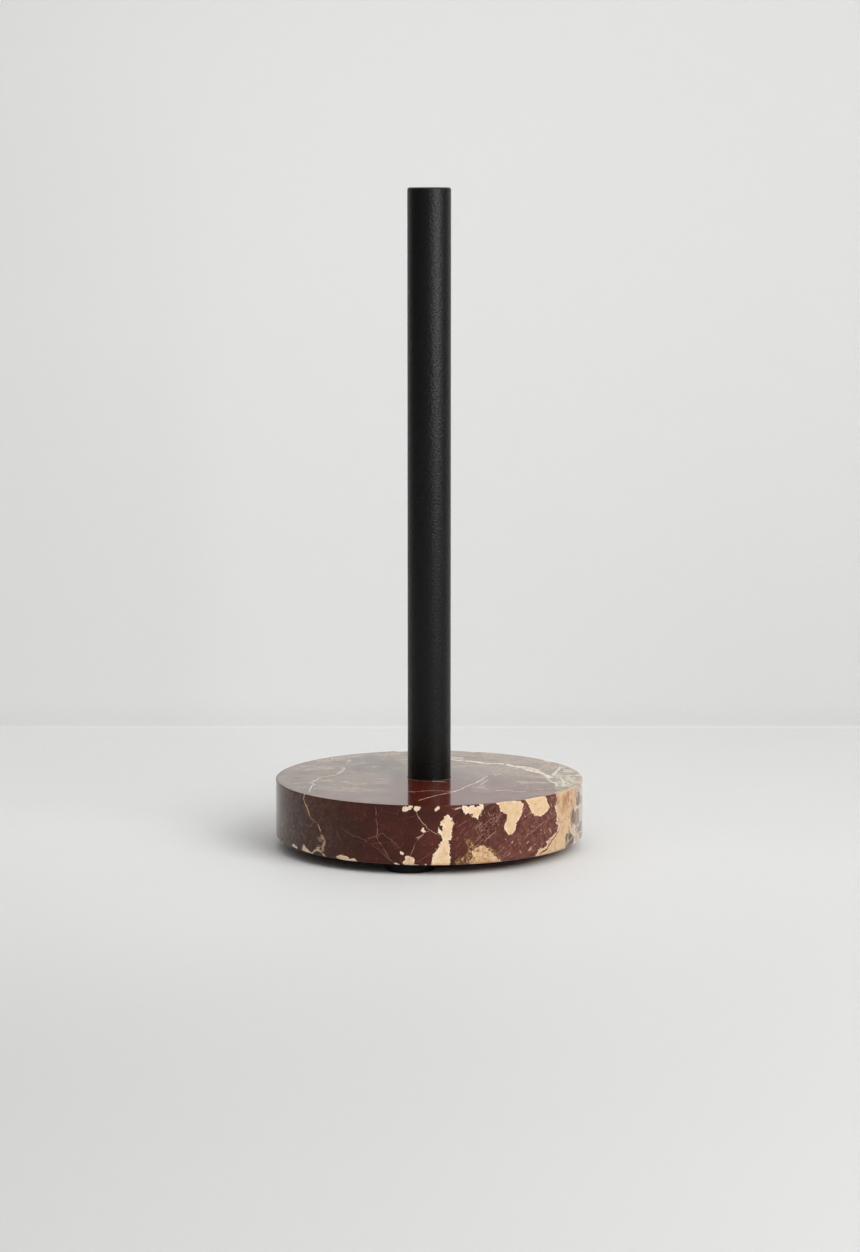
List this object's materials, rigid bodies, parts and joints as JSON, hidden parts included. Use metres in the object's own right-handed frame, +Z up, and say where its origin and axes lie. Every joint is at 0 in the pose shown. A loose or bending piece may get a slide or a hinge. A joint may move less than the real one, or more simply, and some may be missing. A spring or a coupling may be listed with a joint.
{
  "type": "paper towel holder",
  "caption": "Free-standing paper towel holder: a round polished red marble base on rubber feet, with a plain black coated steel post held by a bolt from below.",
  "frame": {"origin": "on the post's axis, at the surface that the feet stand on", "axes": "+Z up along the post, -Y towards the front foot's side, +X to the right"},
  "size_m": [0.152, 0.152, 0.324],
  "materials": {
    "marble": "polished dark red marble with cream patches and veins; underside sawn",
    "black_coating": "black powder coat, satin, fine orange peel",
    "plug_steel": "turned steel",
    "zinc_steel": "zinc plated",
    "washer_rubber": "matt",
    "foot_rubber": "matt, moulded",
    "adhesive": "foam adhesive"
  },
  "bodies": {
    "base": {"marble_base": "marble", "lock_washer": "zinc_steel", "flat_washer": "zinc_steel", "cushion_washer": "washer_rubber", "rubber_foot_front": "foot_rubber", "rubber_foot_right": "foot_rubber", "rubber_foot_left": "foot_rubber", "adhesive_disc_front": "adhesive", "adhesive_disc_right": "adhesive", "adhesive_disc_left": "adhesive"},
    "bolt": {"clamp_bolt": "zinc_steel"},
    "post": {"post_tube": "black_coating", "top_cap": "black_coating", "threaded_plug": "plug_steel"}
  },
  "joints": [
    {"name": "post_rise", "type": "slide", "parent": "base", "child": "post", "axis": [0, 0, 1], "range_m": [0, 0.011]},
    {"name": "bolt_turn", "type": "hinge", "parent": "base", "child": "bolt", "pos_m": [0, 0, 0.0085], "axis": [0, 0, -1], "range_deg": [0, 3170]}
  ],
  "couplings": [
    {"joint": "bolt_turn", "follows": "post_rise", "rad_per_m": 5026.5}
  ]
}
